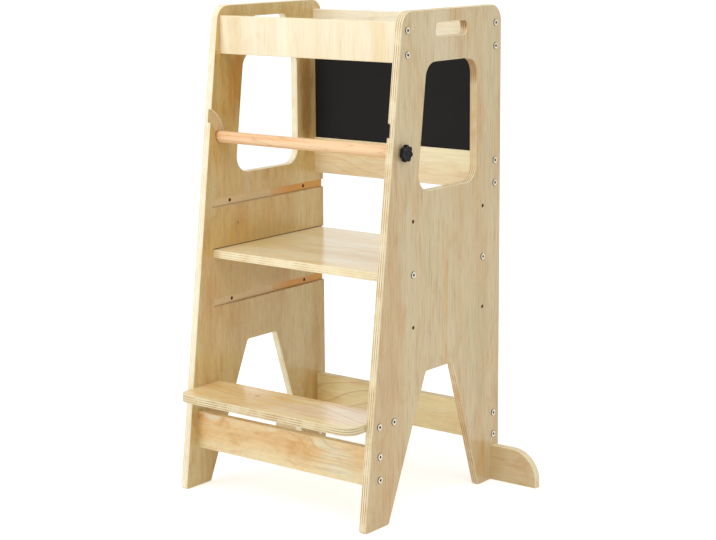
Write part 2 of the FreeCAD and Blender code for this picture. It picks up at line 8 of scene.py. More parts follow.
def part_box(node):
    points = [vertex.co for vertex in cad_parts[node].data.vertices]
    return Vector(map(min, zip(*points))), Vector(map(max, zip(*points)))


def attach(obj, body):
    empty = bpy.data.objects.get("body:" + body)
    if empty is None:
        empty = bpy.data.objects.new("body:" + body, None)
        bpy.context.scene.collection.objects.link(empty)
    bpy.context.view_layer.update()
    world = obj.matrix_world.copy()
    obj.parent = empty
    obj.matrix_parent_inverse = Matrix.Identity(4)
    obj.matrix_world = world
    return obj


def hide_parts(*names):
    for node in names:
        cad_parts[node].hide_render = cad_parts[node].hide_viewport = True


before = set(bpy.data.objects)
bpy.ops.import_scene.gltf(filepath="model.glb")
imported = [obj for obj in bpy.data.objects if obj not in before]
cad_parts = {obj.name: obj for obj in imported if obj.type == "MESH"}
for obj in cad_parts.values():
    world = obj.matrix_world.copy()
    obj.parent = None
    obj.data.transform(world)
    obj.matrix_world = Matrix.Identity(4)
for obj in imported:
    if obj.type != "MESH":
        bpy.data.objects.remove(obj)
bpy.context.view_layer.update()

MM = 0.001

# ------------------------------------------------------------------ camera and light
CAMERA_AZIMUTH = math.radians(37.795)
CAMERA_ELEVATION = math.radians(10.4)
CAMERA_ROLL = math.radians(-0.416)
CAMERA_DISTANCE = 3.33995
CAMERA_AIM = Vector((0.0, 0.0202, 0.45728))
CAMERA_AIM_SIDEWAYS = 0.029837
CAMERA_REACH = 100.0
PHOTO_WIDTH = 716
FOCAL_PIXELS = 1793.86
HORIZON_PIXELS = 25
SENSOR = 36.0

LAMP_AIM = Vector((0.0, 0.0, 0.45))
# Each lamp's name, place, width in metres and power in watts.
LAMPS = (
    ("front_lamp", (-1.6, -3.4, 1.6), 2.2, 38.0),
    ("side_lamp", (3.0, -1.2, 2.2), 2.0, 12.0),
    ("top_lamp", (0.3, -0.9, 2.8), 1.6, 16.0))
DAYLIGHT = 0.62
FLOOR_GREY = 0.9
FLOOR_LIFT = 0.5
FLOOR_REACH = 30.0


def make_camera():
    """The camera at the photograph's viewing angle."""
    data = bpy.data.cameras.new("camera")
    data.sensor_width = SENSOR
    data.lens = FOCAL_PIXELS / PHOTO_WIDTH * SENSOR
    data.shift_y = -HORIZON_PIXELS / PHOTO_WIDTH
    data.clip_end = CAMERA_REACH
    camera = bpy.data.objects.new("camera", data)
    turned = (Matrix.Rotation(CAMERA_AZIMUTH, 4, "Z")
              @ Matrix.Rotation(math.pi / 2 - CAMERA_ELEVATION, 4, "X")
              @ Matrix.Rotation(CAMERA_ROLL, 4, "Z"))
    right = Vector((math.cos(CAMERA_AZIMUTH), math.sin(CAMERA_AZIMUTH), 0.0))
    back = turned.to_3x3() @ Vector((0.0, 0.0, CAMERA_DISTANCE))
    stand = CAMERA_AIM + right * CAMERA_AIM_SIDEWAYS + back
    camera.matrix_world = Matrix.Translation(stand) @ turned
    bpy.context.scene.collection.objects.link(camera)
    bpy.context.scene.camera = camera


def make_lamp(name, place, width, power):
    """A square soft lamp that looks at the middle of the tower."""
    data = bpy.data.lights.new(name, "AREA")
    data.size = width
    data.energy = power
    lamp = bpy.data.objects.new(name, data)
    looking = (LAMP_AIM - Vector(place)).to_track_quat("-Z", "Y")
    lamp.matrix_world = Matrix.Translation(Vector(place)) @ looking.to_matrix().to_4x4()
    bpy.context.scene.collection.objects.link(lamp)


# ------------------------------------------------------------------ node helpers
def tone(red, green, blue):
    """A colour given as screen values from 0 to 255, for a colour socket."""
    def linear(value):
        share = value / 255
        return share / 12.92 if share <= 0.04045 else ((share + 0.055) / 1.055) ** 2.4
    return (linear(red), linear(green), linear(blue), 1.0)


class Recipe:
    """The node tree of one material, with short ways to add nodes and join them."""

    def __init__(self, name):
        self.material = bpy.data.materials.new(name)
        self.material.use_nodes = True
        self.tree = self.material.node_tree
        self.shader = self.tree.nodes["Principled BSDF"]

    def add(self, kind, sockets=None, **settings):
        """A new node with its settings, and constants or links in its sockets."""
        node = self.tree.nodes.new("ShaderNode" + kind)
        for key, value in settings.items():
            setattr(node, key, value)
        for key, value in (sockets or {}).items():
            self.put(node.inputs[key], value)
        return node

    def put(self, socket, value):
        """Links an output to a socket, or sets a constant on it."""
        if isinstance(value, bpy.types.NodeSocket):
            self.tree.links.new(value, socket)
        else:
            socket.default_value = value

    def surface(self, name, value):
        """Links or sets one of the shader's own sockets."""
        self.put(self.shader.inputs[name], value)

    def relief(self, height, strength, distance):
        """Feeds a bump to the shader."""
        bump = self.add("Bump", {"Height": height, "Strength": strength, "Distance": distance})
        self.surface("Normal", bump.outputs[0])

    def math(self, operation, *values, clamp=False):
        """The result of a sum on numbers or outputs."""
        sockets = dict(enumerate(values))
        return self.add("Math", sockets, operation=operation, use_clamp=clamp).outputs[0]

    def split(self, vector):
        """The three parts of a vector."""
        return self.add("SeparateXYZ", {0: vector}).outputs

    def mix(self, factor, first, second, blend="MIX"):
        """The first colour turned to the second, as far as factor says."""
        sockets = {0: factor, 6: first, 7: second}
        return self.add("Mix", sockets, data_type="RGBA", blend_type=blend).outputs[2]

    def steps(self, factor, stops, smooth=True):
        """A ramp through (place, value) stops; a value is a grey number or a colour."""
        node = self.add("ValToRGB", {0: factor})
        ramp = node.color_ramp
        ramp.interpolation = "EASE" if smooth else "LINEAR"
        while len(ramp.elements) < len(stops):
            ramp.elements.new(0.5)
        for element, (place, value) in zip(ramp.elements, stops):
            element.position = place
            element.color = value if isinstance(value, tuple) else (value, value, value, 1.0)
        return node.outputs[0]

    def tint(self, colour, strength, factor, stops):
        """A colour multiplied by a ramp, as far as strength says."""
        return self.mix(strength, colour, self.steps(factor, stops), "MULTIPLY")

    def noise(self, vector, rate, detail=2.0, roughness=0.5, distortion=0.0):
        """Noise with one rate per metre, or a tuple of one rate for each axis."""
        if isinstance(rate, tuple):
            stretch = self.add("VectorMath", {0: vector, 1: rate}, operation="MULTIPLY")
            vector, rate = stretch.outputs[0], 1.0
        sockets = {"Vector": vector, "Scale": rate, "Detail": detail, "Roughness": roughness,
                   "Distortion": distortion}
        return self.add("TexNoise", sockets).outputs["Fac"]


# ------------------------------------------------------------------ plywood
PLIES = 7
AXES = {"X": 0, "Y": 1, "Z": 2}

PLAIN_EDGE = (tone(250, 238, 200), tone(244, 222, 176))
EDGE_LINE = tone(172, 129, 88)
CLOUD_SHADES = (tone(236, 206, 164), tone(251, 246, 236), tone(255, 255, 252))
PORE = tone(206, 180, 156)
LATEWOOD = tone(184, 124, 46)
KNOT = tone(104, 66, 36)
# Painted shade on the walls of the empty bores.
BORE_SHADE = tone(140, 92, 50)
# Painted shade: dark lines at the grooves' lips and shade round the bolts' heads.
PAINTED_SHADE = tone(112, 64, 18)

# How often each layer of a face changes in a metre along the grain and across it.  The third
# rate is that of the seed, which sets one board apart from another.
BAND_RATE = (0.9, 15.0, 1.0)
CLOUD_RATE = (9.0, 24.0, 1.0)
FRAY_RATE = (12.0, 45.0, 1.0)
MOTTLE_RATE = (70.0, 130.0, 1.0)
STREAK_RATE = (16.0, 210.0, 1.0)
FIBRE_RATE = (9.0, 460.0, 1.0)
PORE_RATE = (20.0, 620.0, 1.0)
WANDER_RATE = (2.2, 7.0, 1.0)
PATCH_RATE = (3.0, 9.0, 1.0)
BREAK_RATE = 22.0
BLUSH_RATE = 28.0

# How much the clouds swirl and the stains fray, and how strongly streaks and fibres show.
CLOUD_SWIRL = 1.2
FRAY = 1.6
STREAK_STRENGTH = 0.7
FIBRE_STRENGTH = 0.6
# How dark a growth ring's late wood starts, and how far through it the darkest line lies.
RING_DAWN = 0.2
RING_PEAK = 1 / 2.6
# How a knot stretches along the grain, its heart's reach and strength, and how far it pushes the
# rings aside and how fast that fades.
KNOT_SQUASH = 0.55
KNOT_HEART = 1.25
KNOT_STRENGTH = 0.8
KNOT_PUSH = 2.6
KNOT_FALL = 0.45
# Where the dark line lies in each pair of plies, how much it is sunk, and the cut's roughness.
LINE_PLACE = 0.75
LINE_RELIEF = 0.6
CUT_ROUGHNESS = (0.6, 0.6, 0.6, 1.0)
# How far the painted shade on a bore's wall and round a bolt's head reach from their axes, the
# strength of that shade round a bolt, and how slowly the bare ply turns from one tone to the other.
BORE_REACH = 3.5 * MM
RIM_SHADE_REACH = 6.9 * MM
RIM_SHADE = 0.55
BARE_FADE = 55.0 * MM

# What a board's look holds, with the values of a plain board.
PLAIN_LOOK = {
    # The growth rings' strength, spacing in metres and waviness, and where in a ring its dark
    # part starts.
    "figure": 0.3, "ring": 0.018, "bend": 9.0, "late": 0.6,
    # The strengths of broad and of fine mottling, of short dark pores and of the dark plies.
    "cloud": 0.5, "mottle": 0.3, "pores": 0.4, "seam": 0.5,
    # The two colours of the pale plies.
    "edge": PLAIN_EDGE,
    # Knots and stain patches on the faces, painted sheen on some faces, stain patches on cut edges.
    "knots": (), "stains_and_sheen": (), "edge_stains": (),
    # Whether the faces' stain patches and painted sheen keep to the face with the larger coordinate.
    "upper_only": False,
    # The places of drilled holes, and those under a bolt's head.
    "bores": (), "bolted": (),
    # What the grooves show, if the board has any.
    "routed": None}


def distance_to(wood, along, over, spot, squash=1.0):
    """How far a point of a face is from (along, over), with the way along the grain shortened."""
    run = wood.math("MULTIPLY", wood.math("SUBTRACT", along, spot[0]), squash)
    rise = wood.math("SUBTRACT", over, spot[1])
    square = wood.math("ADD", wood.math("MULTIPLY", run, run), wood.math("MULTIPLY", rise, rise))
    return wood.math("SQRT", square)


def knot_marks(wood, along, over, knots):
    """How far knots, each (along, over, size), push the rings aside, and their dark hearts."""
    pushed = 0.0
    heart = 0.0
    for knot_along, knot_over, size in knots:
        away = distance_to(wood, along, over, (knot_along, knot_over), KNOT_SQUASH)
        far = wood.math("DIVIDE", away, size)
        near = wood.math("EXPONENT", wood.math("MULTIPLY", far, -KNOT_FALL))
        pushed = wood.math("ADD", pushed, wood.math("MULTIPLY", near, KNOT_PUSH))
        heart = wood.math("ADD", heart, wood.math("SUBTRACT", KNOT_HEART, far, clamp=True), clamp=True)
    return pushed, heart


def add_stains_and_sheen(wood, colour, along, over, place, stains_and_sheen):
    """Soft frayed patches of another tone, each (along, over, long, wide, tone, strength): stain
    patches, and on the step a painted sheen.
    """
    fray = wood.noise(place, FRAY_RATE, detail=4.0, roughness=0.6)
    fray = wood.math("MULTIPLY", wood.math("SUBTRACT", fray, 0.5), FRAY)
    for patch_along, patch_over, long, wide, shade, strength in stains_and_sheen:
        away = distance_to(wood, along, over, (patch_along, patch_over), wide / long)
        far = wood.math("ADD", wood.math("DIVIDE", away, wide), fray)
        amount = wood.math("MULTIPLY", wood.steps(far, [(0.25, 1.0), (1.0, 0.0)]), strength)
        colour = wood.mix(amount, colour, shade)
    return colour


def growth_rings(wood, over, place, pushed, look):
    """How strongly the rings show: each darkens through its late wood, in patches of the face."""
    wander = wood.noise(place, WANDER_RATE, detail=2.0, roughness=0.45)
    field = wood.math("ADD", wood.math("DIVIDE", over, look["ring"]),
                      wood.math("MULTIPLY", wander, look["bend"]))
    rings = wood.math("FRACT", wood.math("ADD", field, pushed))
    late = look["late"]
    peak = late + (1.0 - late) * RING_PEAK
    lines = wood.steps(rings, [(0.0, 0.0), (late, RING_DAWN), (peak, 1.0), (1.0, 0.0)])
    patch = wood.noise(place, PATCH_RATE, detail=2.0)
    shown = wood.math("MULTIPLY", wood.steps(patch, [(0.4, 0.1), (0.62, 1.0)]), look["figure"])
    return wood.math("MULTIPLY", lines, shown)


def face_veneer(wood, along, over, place, upper, look):
    """The colour of a face and its fibres: bands, clouds, stain patches and painted sheen,
    mottling, streaks, fibres, pores, growth rings and knots.  upper is 1 on the half of the
    board's thickness with the larger coordinates."""
    pale, middle, warm = look["tones"]
    band = wood.noise(place, BAND_RATE, detail=3.0, roughness=0.55)
    colour = wood.steps(band, [(0.34, pale), (0.5, middle), (0.66, warm)])
    cloud = wood.noise(place, CLOUD_RATE, detail=4.0, roughness=0.6, distortion=CLOUD_SWIRL)
    colour = wood.tint(colour, look["cloud"], cloud, list(zip((0.34, 0.5, 0.68), CLOUD_SHADES)))
    with_stains_and_sheen = add_stains_and_sheen(wood, colour, along, over, place, look["stains_and_sheen"])
    colour = wood.mix(upper, colour, with_stains_and_sheen) if look["upper_only"] else with_stains_and_sheen

    mottle = wood.noise(place, MOTTLE_RATE, detail=3.0, roughness=0.7)
    colour = wood.tint(colour, look["mottle"], mottle, [(0.34, 0.9), (0.5, 1.0), (0.66, 1.05)])
    streak = wood.noise(place, STREAK_RATE, detail=2.0, roughness=0.6)
    colour = wood.tint(colour, STREAK_STRENGTH, streak, [(0.32, 0.93), (0.5, 1.0), (0.7, 1.03)])
    fibre = wood.noise(place, FIBRE_RATE, detail=3.0, roughness=0.65)
    colour = wood.tint(colour, FIBRE_STRENGTH, fibre, [(0.3, 0.86), (0.5, 0.98), (0.72, 1.04)])
    pores = wood.noise(place, PORE_RATE, detail=1.0)
    colour = wood.tint(colour, look["pores"], pores, [(0.54, 1.0), (0.78, PORE)])

    pushed, heart = knot_marks(wood, along, over, look["knots"])
    colour = wood.mix(growth_rings(wood, over, place, pushed, look), colour, LATEWOOD)
    return wood.mix(wood.math("MULTIPLY", heart, KNOT_STRENGTH), colour, KNOT), fibre


def cut_edge(wood, point, along, over, place, share, look):
    """The colour of a cut edge and its dark lines: pale plies with thin dark ones between them,
    broken in places.  share runs from 0 to 1 through the board's thickness."""
    pair = wood.math("FRACT", wood.math("MULTIPLY", share, PLIES / 2))
    off = wood.math("ABSOLUTE", wood.math("SUBTRACT", pair, LINE_PLACE))
    line = wood.steps(off, [(0.07, 1.0), (0.2, 0.0)])
    broken = wood.noise(point, BREAK_RATE, detail=3.0, roughness=0.6)
    shown = wood.math("MULTIPLY", wood.steps(broken, [(0.36, 0.25), (0.62, 1.0)]), look["seam"])
    line = wood.math("MULTIPLY", line, shown)
    blush = wood.noise(point, BLUSH_RATE, detail=4.0, roughness=0.65)
    pale = wood.steps(blush, list(zip((0.42, 0.7), look["edge"])))
    pale = add_stains_and_sheen(wood, pale, along, over, place, look["edge_stains"])
    return wood.mix(line, pale, EDGE_LINE, "MULTIPLY"), line


def bare_ply(wood, colour, over, share, routed):
    """Shows the ply that the grooves lay open, in the middle half of the board's thickness."""
    past = wood.math("DIVIDE", wood.math("SUBTRACT", over, routed["meeting"]), BARE_FADE)
    behind = wood.steps(past, [(0.0, 0.0), (0.03, 0.4), (1.0, 1.0)], smooth=False)
    bare = wood.mix(behind, routed["front"], routed["rear"])
    off = wood.math("ABSOLUTE", wood.math("SUBTRACT", share, 0.5))
    return wood.mix(wood.math("LESS_THAN", off, 0.25), colour, bare)


def paint_lip_shade(wood, colour, along, over, deep, routed):
    """Painted shade: thin dark lines along some lips of the grooves: above the platform, where the
    gap over it lies in shade, and at the lower lips of the empty grooves.
    """
    behind = wood.math("GREATER_THAN", over, routed["end"])
    inner = wood.math("LESS_THAN", wood.math("ABSOLUTE", deep), routed["reach"])
    inside = wood.math("MULTIPLY", behind, inner)
    for height, strength, half in routed["lips"]:
        off = wood.math("ABSOLUTE", wood.math("SUBTRACT", along, height))
        lip = wood.math("MULTIPLY", wood.math("LESS_THAN", off, half), inside)
        colour = wood.mix(wood.math("MULTIPLY", lip, strength), colour, PAINTED_SHADE)
    return colour


def bolt_marks(wood, colour, along, over, look):
    """Painted shade round the bolts' heads and on the walls of the empty bores."""
    for bolt in look["bolted"]:
        far = wood.math("DIVIDE", distance_to(wood, along, over, bolt), RIM_SHADE_REACH)
        colour = wood.mix(wood.steps(far, [(0.85, RIM_SHADE), (1.0, 0.0)]), colour, PAINTED_SHADE)
    for bore in look["bores"]:
        near = wood.math("LESS_THAN", distance_to(wood, along, over, bore), BORE_REACH)
        colour = wood.mix(near, colour, BORE_SHADE)
    return colour


def plywood(node, grain, layers, seed, **changes):
    """Lacquered plywood.  grain and layers are the axes along the face's grain and through its
    plies.  changes hold the board's tones, which are the pale, middle and warm colours of its
    veneer, and whatever else sets its look apart from the plain one."""
    look = {**PLAIN_LOOK, **changes}
    wood = Recipe(node + "_plywood")
    across = next(axis for axis in "XYZ" if axis not in (grain, layers))
    low, high = (corner[AXES[layers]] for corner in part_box(node))
    coords = wood.add("TexCoord").outputs
    point = coords["Object"]
    parts = wood.split(point)
    along, over, deep = (parts[AXES[axis]] for axis in (grain, across, layers))
    place = wood.add("CombineXYZ", {0: along, 1: over, 2: seed}).outputs[0]
    share = wood.math("DIVIDE", wood.math("SUBTRACT", deep, low), high - low)

    upper = wood.math("GREATER_THAN", share, 0.5)
    colour, fibre = face_veneer(wood, along, over, place, upper, look)
    if look["routed"]:
        colour = bare_ply(wood, colour, over, share, look["routed"])
    cut, line = cut_edge(wood, point, along, over, place, share, look)
    facing = wood.math("ABSOLUTE", wood.split(coords["Normal"])[AXES[layers]])
    on_face = wood.steps(facing, [(0.9, 0.0), (0.97, 1.0)])
    colour = bolt_marks(wood, wood.mix(on_face, cut, colour), along, over, look)
    if look["routed"]:
        colour = paint_lip_shade(wood, colour, along, over, deep, look["routed"])
    wood.surface("Base Color", colour)

    lacquer = wood.steps(fibre, [(0.3, 0.24), (0.7, 0.15)])
    wood.surface("Roughness", wood.mix(on_face, CUT_ROUGHNESS, lacquer))
    height = wood.math("SUBTRACT", fibre, wood.math("MULTIPLY", line, LINE_RELIEF))
    wood.relief(height, strength=0.1, distance=0.3 * MM)
    return wood.material


# ------------------------------------------------------------------ other finishes
# How often the layers of these finishes change in a metre, and their named tones.
DOWEL_BAND_RATE = (1.6, 70.0, 70.0)
DOWEL_RING_RATE = (3.0, 40.0, 40.0)
DOWEL_FIBRE_RATE = (9.0, 700.0, 700.0)
DOWEL_RINGS = 9.0
DOWEL_LINE = tone(196, 122, 70)
DOWEL_LINE_STRENGTH = 0.28
# Darker rail ends: end grain, and painted shade where the ends sit in the panels' pockets.
DOWEL_END_GRAIN_AND_SHADE = tone(186, 112, 58)

WIPE_RATE = (3.0, 3.0, 9.0)
CHALK_GRIT_RATE = 1400.0
ZINC_CLOUD_RATE = 260.0
# Painted shade on zinc faces that do not look along X, such as the heads' rims.
ZINC_SIDE_SHADE = tone(96, 88, 74)
# Painted shade on the floors of the drive sockets.
ZINC_SOCKET_SHADE = tone(40, 36, 32)
MOULD_GRAIN_RATE = 2600.0
MOULD_BLUSH_RATE = 120.0
# How far inside the panels' faces a fastener counts as shaded.
SOCKET_SHADE = 0.3 * MM


def dowel_wood():
    """Turned softwood: a pale ground, salmon streaks, a few thin late-wood lines and darker ends,
    which are end grain and painted shade in the panels' pockets.
    """
    wood = Recipe("turned_softwood")
    point = wood.add("TexCoord").outputs["Object"]
    band = wood.noise(point, DOWEL_BAND_RATE, detail=2.0, roughness=0.5)
    colour = wood.steps(band, [(0.36, tone(254, 231, 190)), (0.52, tone(249, 211, 164)),
                               (0.66, tone(236, 180, 128))])
    bend = wood.noise(point, DOWEL_RING_RATE, detail=1.0)
    rings = wood.math("FRACT", wood.math("MULTIPLY", bend, DOWEL_RINGS))
    line = wood.steps(rings, [(0.0, 0.0), (0.72, 0.1), (0.9, 1.0), (1.0, 0.0)])
    colour = wood.mix(wood.math("MULTIPLY", line, DOWEL_LINE_STRENGTH), colour, DOWEL_LINE)
    fibre = wood.noise(point, DOWEL_FIBRE_RATE, detail=3.0, roughness=0.6)
    colour = wood.tint(colour, FIBRE_STRENGTH, fibre, [(0.3, 0.88), (0.7, 1.04)])
    # Darker ends: end grain, and painted shade where the ends sit in the panels' pockets.
    reach = wood.math("ABSOLUTE", wood.split(point)[0])
    end = wood.math("DIVIDE", reach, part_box("safety_rail")[1].x)
    colour = wood.mix(wood.steps(end, [(0.955, 0.0), (0.98, 0.85)]), colour, DOWEL_END_GRAIN_AND_SHADE)
    wood.surface("Base Color", colour)
    wood.surface("Roughness", wood.steps(fibre, [(0.3, 0.5), (0.7, 0.38)]))
    wood.relief(fibre, strength=0.2, distance=0.3 * MM)
    return wood.material


def writing_paint():
    """Matt black writing paint, a little uneven, with a trace of wiped chalk."""
    paint = Recipe("writing_paint")
    point = paint.add("TexCoord").outputs["Object"]
    wiped = paint.noise(point, WIPE_RATE, detail=4.0, roughness=0.6)
    colour = paint.steps(wiped, [(0.35, tone(20, 20, 22)), (0.75, tone(29, 29, 31))])
    paint.surface("Base Color", colour)
    paint.surface("Specular IOR Level", 0.25)
    paint.surface("Roughness", paint.steps(wiped, [(0.3, 0.72), (0.8, 0.84)]))
    grit = paint.noise(point, CHALK_GRIT_RATE, detail=1.0)
    paint.relief(grit, strength=0.15, distance=0.2 * MM)
    return paint.material


def inside_panels(metal, point):
    """1 on whatever lies within the thickness of the side panels."""
    inner, outer = (corner.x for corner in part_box("right_side_panel"))
    reach = metal.math("ABSOLUTE", metal.split(point)[0])
    off = metal.math("ABSOLUTE", metal.math("SUBTRACT", reach, (inner + outer) / 2))
    return metal.math("LESS_THAN", off, (outer - inner) / 2 - SOCKET_SHADE)


def zinc_plate(name, recessed):
    """Zinc plate with faint clouding, bright on faces that look along X and darker, as painted
    shade, on the other faces such as the rims.  Recessed fasteners have drive sockets, whose
    floors lie in the panels' thickness and get painted shade."""
    metal = Recipe(name)
    coords = metal.add("TexCoord").outputs
    cloud = metal.noise(coords["Object"], ZINC_CLOUD_RATE, detail=3.0)
    bright = metal.steps(cloud, [(0.3, tone(204, 197, 182)), (0.7, tone(234, 228, 212))])
    # Painted shade: faces that do not look along X, such as the rims, turn dark.
    outward = metal.math("ABSOLUTE", metal.split(coords["Normal"])[0])
    colour = metal.mix(metal.steps(outward, [(0.6, 0.0), (0.95, 1.0)]), ZINC_SIDE_SHADE, bright)
    # Painted shade on the sockets' floors inside the panels.
    if recessed:
        colour = metal.mix(inside_panels(metal, coords["Object"]), colour, ZINC_SOCKET_SHADE)
    metal.surface("Base Color", colour)
    metal.surface("Metallic", 1.0)
    metal.surface("Roughness", metal.steps(cloud, [(0.3, 0.26), (0.7, 0.4)]))
    return metal.material


def moulded_plastic():
    """Black moulded plastic with a fine spark-eroded grain."""
    plastic = Recipe("moulded_plastic")
    point = plastic.add("TexCoord").outputs["Object"]
    blush = plastic.noise(point, MOULD_BLUSH_RATE, detail=2.0)
    colour = plastic.steps(blush, [(0.3, tone(7, 7, 8)), (0.7, tone(13, 13, 14))])
    plastic.surface("Base Color", colour)
    plastic.surface("Specular IOR Level", 0.2)
    plastic.surface("Roughness", plastic.steps(blush, [(0.3, 0.38), (0.7, 0.5)]))
    grain = plastic.noise(point, MOULD_GRAIN_RATE, detail=1.0)
    plastic.relief(grain, strength=0.12, distance=0.2 * MM)
    return plastic.material


# ------------------------------------------------------------------ shaping helpers
SMOOTH_ANGLE = math.radians(35)
SAME_PLACE = 1e-6
SAME_VERT = 1e-7
LIE_ALONG_X = Matrix.Rotation(math.pi / 2, 4, "Y")
TURN_BACK = Matrix.Rotation(math.pi, 4, "Z")


def piece(name, bm, body, material, slot, *replaced):
    """Makes an object of a bmesh and hands it to the body that carries it."""
    bmesh.ops.recalc_face_normals(bm, faces=bm.faces)
    mesh = bpy.data.meshes.new(name)
    bm.to_mesh(mesh)
    bm.free()
    mesh.shade_smooth()
    mesh.set_sharp_from_angle(angle=SMOOTH_ANGLE)
    mesh.materials.append(material)
    made = bpy.data.objects.new(name, mesh)
    bpy.context.scene.collection.objects.link(made)
    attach(made, body)
    if replaced:
        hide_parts(*replaced)


def verts_of(geom):
    """The vertices among what an operator gives back."""
    return [item for item in geom if isinstance(item, bmesh.types.BMVert)]


def edges_of(geom):
    """The edges among what an operator gives back."""
    return [item for item in geom if isinstance(item, bmesh.types.BMEdge)]


def ring_edges(bm, x, radius):
    """The edges that lie on a circle round the X axis."""
    def on(vert):
        round_x = math.hypot(vert.co.y, vert.co.z)
        return abs(vert.co.x - x) < SAME_PLACE and abs(round_x - radius) < SAME_PLACE
    return [edge for edge in bm.edges if all(on(vert) for vert in edge.verts)]


def round_over(bm, edges, offset, segments):
    """Rounds edges over."""
    bmesh.ops.bevel(bm, geom=edges, offset=offset, segments=segments, profile=0.5,
                    affect="EDGES", material=-1, clamp_overlap=True)


def turned_shape(bm, profile, steps):
    """Spins a profile of (x, radius) points about the X axis."""
    verts = [bm.verts.new((x, 0.0, radius)) for x, radius in profile]
    edges = [bm.edges.new(pair) for pair in zip(verts, verts[1:])]
    bmesh.ops.spin(bm, geom=verts + edges, axis=(1, 0, 0), cent=(0, 0, 0), angle=math.tau,
                   steps=steps, use_merge=True)
    bmesh.ops.remove_doubles(bm, verts=bm.verts, dist=SAME_VERT)


def sink_socket(bm, mouth, shift):
    """Draws a socket along X from the edges of its mouth, and closes its floor."""
    sunk = bmesh.ops.extrude_edge_only(bm, edges=mouth)["geom"]
    bmesh.ops.translate(bm, verts=verts_of(sunk), vec=(shift, 0, 0))
    bmesh.ops.contextual_create(bm, geom=edges_of(sunk))


def copies(pattern, places):
    """One bmesh of several copies of another, each through its own matrix."""
    source = bpy.data.meshes.new("pattern")
    pattern.to_mesh(source)
    pattern.free()
    bm = bmesh.new()
    for matrix in places:
        before = len(bm.verts)
        bm.from_mesh(source)
        bm.verts.ensure_lookup_table()
        bmesh.ops.transform(bm, matrix=matrix, verts=bm.verts[before:])
    bpy.data.meshes.remove(source)
    return bm


# ------------------------------------------------------------------ bolts and screws
HEAD_RADIUS = 6.0 * MM
HEAD_THICK = 1.6 * MM
HEAD_ROUND = 0.6 * MM
HEAD_ROUND_STEPS = 3
SHANK_RADIUS = 3.0 * MM
SHANK_LENGTH = 50.0 * MM
SOCKET_WIDTH = 5.0 * MM
SOCKET_DEPTH = 2.6 * MM
LAND_RADIUS = 3.4 * MM
FASTENER_STEPS = 24

SCREW_RADIUS = 4.4 * MM
SCREW_PROUD = 0.25 * MM
SCREW_ROUND = 0.4 * MM
SCREW_DEPTH = 3.0 * MM
SCREW_CORE = 2.2 * MM
SCREWS_EACH = 2
SCREW_LOW = 18.0 * MM
SCREW_PITCH = 32.0 * MM
SLOT_LONG = 2.4 * MM
SLOT_WIDE = 0.55 * MM
SLOT_DEEP = 1.4 * MM


def hex_bolt():
    """A furniture bolt along +X with its head's back face at x = 0 and a hex socket."""
    bm = bmesh.new()
    turned_shape(bm, [(-SHANK_LENGTH, 0.0), (-SHANK_LENGTH, SHANK_RADIUS), (0.0, SHANK_RADIUS),
                      (0.0, HEAD_RADIUS), (HEAD_THICK, HEAD_RADIUS), (HEAD_THICK, LAND_RADIUS)],
                 FASTENER_STEPS)
    land = ring_edges(bm, HEAD_THICK, LAND_RADIUS)
    hexagon = bmesh.ops.create_circle(bm, segments=6, radius=SOCKET_WIDTH / math.sqrt(3),
                                      matrix=Matrix.Translation((HEAD_THICK, 0, 0)) @ LIE_ALONG_X)
    sides = list({edge for vert in hexagon["verts"] for edge in vert.link_edges})
    cut = bmesh.ops.subdivide_edges(bm, edges=sides, cuts=FASTENER_STEPS // 6 - 1)
    mouth = edges_of(cut["geom"])
    bmesh.ops.bridge_loops(bm, edges=land + mouth)
    sink_socket(bm, mouth, -SOCKET_DEPTH)
    round_over(bm, ring_edges(bm, HEAD_THICK, HEAD_RADIUS), HEAD_ROUND, HEAD_ROUND_STEPS)
    return bm


def bolt_spots(node):
    """The (y, height) of the bolts of one node, which lie at the corners of its box."""
    low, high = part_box(node)
    corners = (low + Vector.Fill(3, HEAD_RADIUS), high - Vector.Fill(3, HEAD_RADIUS))
    return sorted({(round(corner.y, 6), round(corner.z, 6)) for corner in corners})


def bolt_places(node):
    """Where the bolts of a node are: one through each panel at every spot."""
    low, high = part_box(node)
    places = []
    for y, z in bolt_spots(node):
        places.append(Matrix.Translation((high.x - HEAD_THICK, y, z)))
        places.append(Matrix.Translation((low.x + HEAD_THICK, y, z)) @ TURN_BACK)
    return places


def make_bolts(metal):
    """The bolts that hold the rails, the boards, the platform and the step."""
    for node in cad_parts:
        if node.endswith("_bolts"):
            piece(node.replace("_bolts", "_hex_bolts"), copies(hex_bolt(), bolt_places(node)),
                  "tower", metal, "zinc_steel", node)


def screw_head():
    """The head of a countersunk screw that faces -X, with a cross recess."""
    bm = bmesh.new()
    rim_radius = SCREW_RADIUS - SCREW_ROUND
    turned_shape(bm, [(SCREW_DEPTH, 0.0), (SCREW_DEPTH, SCREW_CORE), (SCREW_ROUND, SCREW_RADIUS),
                      (0.0, SCREW_RADIUS), (-SCREW_PROUD, rim_radius)], FASTENER_STEPS)
    rim = ring_edges(bm, -SCREW_PROUD, rim_radius)
    corners = []
    for turn in range(4):
        for y, z in ((SLOT_WIDE, SLOT_WIDE), (SLOT_WIDE, SLOT_LONG), (-SLOT_WIDE, SLOT_LONG)):
            point = Matrix.Rotation(turn * math.pi / 2, 4, "X") @ Vector((-SCREW_PROUD, y, z))
            corners.append(bm.verts.new(point))
    mouth = [bm.edges.new(pair) for pair in zip(corners, corners[1:] + corners[:1])]
    bmesh.ops.bridge_loops(bm, edges=rim + mouth)
    sink_socket(bm, mouth, SLOT_DEEP)
    return bm


